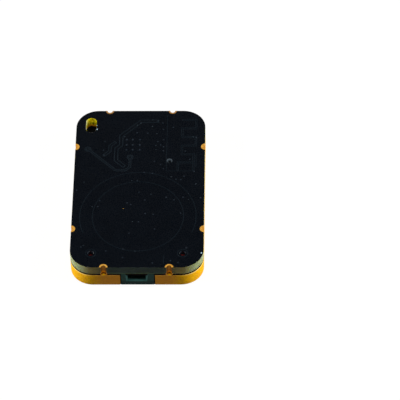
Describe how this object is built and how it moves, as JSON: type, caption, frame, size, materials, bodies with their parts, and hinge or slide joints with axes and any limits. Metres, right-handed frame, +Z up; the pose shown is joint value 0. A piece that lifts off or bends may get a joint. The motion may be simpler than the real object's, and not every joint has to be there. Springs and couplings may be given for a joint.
{
  "type": "inventory tag",
  "caption": "Flat electronic tag: black circuit board on a yellow moulded housing, lanyard slot in one corner, coin cell held in from below.",
  "frame": {"origin": "centre of the underside", "axes": "+X to the right, +Y from the prying notch to the lanyard end, +Z up through the circuit board"},
  "size_m": [0.0274, 0.0432, 0.0055],
  "materials": {
    "yellow_housing": "fine-grained moulded plastic, matt",
    "black_gasket": "die-cut adhesive foam, matt black",
    "black_rubber": "matt black rubber",
    "masked_laminate": "black solder mask on glass-fibre laminate, olive edges",
    "gold_plating": "gold plating, satin",
    "masked_copper": "copper under black solder mask",
    "black_plastic": "moulded black plastic, semi-matt",
    "nickel_spring": "nickel-plated spring sheet",
    "cell_steel": "drawn stainless sheet, fine brushed",
    "seal_plastic": "dark nylon",
    "cathode_powder": "pressed black powder",
    "separator_felt": "white felt",
    "anode_metal": "dull soft metal",
    "chip_plastic": "moulded black compound",
    "tinned_leads": "matt tin",
    "crystal_case": "plated lid on a ceramic base",
    "capacitor_ceramic": "tan ceramic, tinned ends",
    "resistor_ceramic": "black coated ceramic, tinned ends",
    "matching_ceramic": "white ceramic, tinned ends",
    "ferrite": "grey ferrite"
  },
  "bodies": {
    "tag": {"housing": "yellow_housing", "gasket": "black_gasket", "slot_liner": "black_rubber", "board": "masked_laminate", "edge_contacts": "gold_plating", "signal_tracks": "masked_copper", "antenna_track": "masked_copper", "cell_holder": "black_plastic", "positive_contact": "nickel_spring", "negative_contact": "nickel_spring", "radio_chip": "chip_plastic", "chip_leads": "tinned_leads", "radio_crystal": "crystal_case", "clock_crystal": "crystal_case", "motion_sensor": "chip_plastic", "memory_chip": "chip_plastic", "ceramic_capacitors": "capacitor_ceramic", "bulk_capacitors": "capacitor_ceramic", "resistors": "resistor_ceramic", "matching_parts": "matching_ceramic", "power_inductors": "ferrite"},
    "cell": {"cell_can": "cell_steel", "cell_cap": "cell_steel", "cell_seal": "seal_plastic", "cell_cathode": "cathode_powder", "cell_separator": "separator_felt", "cell_anode": "anode_metal"}
  },
  "joints": [
    {"name": "cell_lift", "type": "slide", "parent": "tag", "child": "cell", "axis": [0, 0, -1], "range_m": [0, 0.01]}
  ]
}
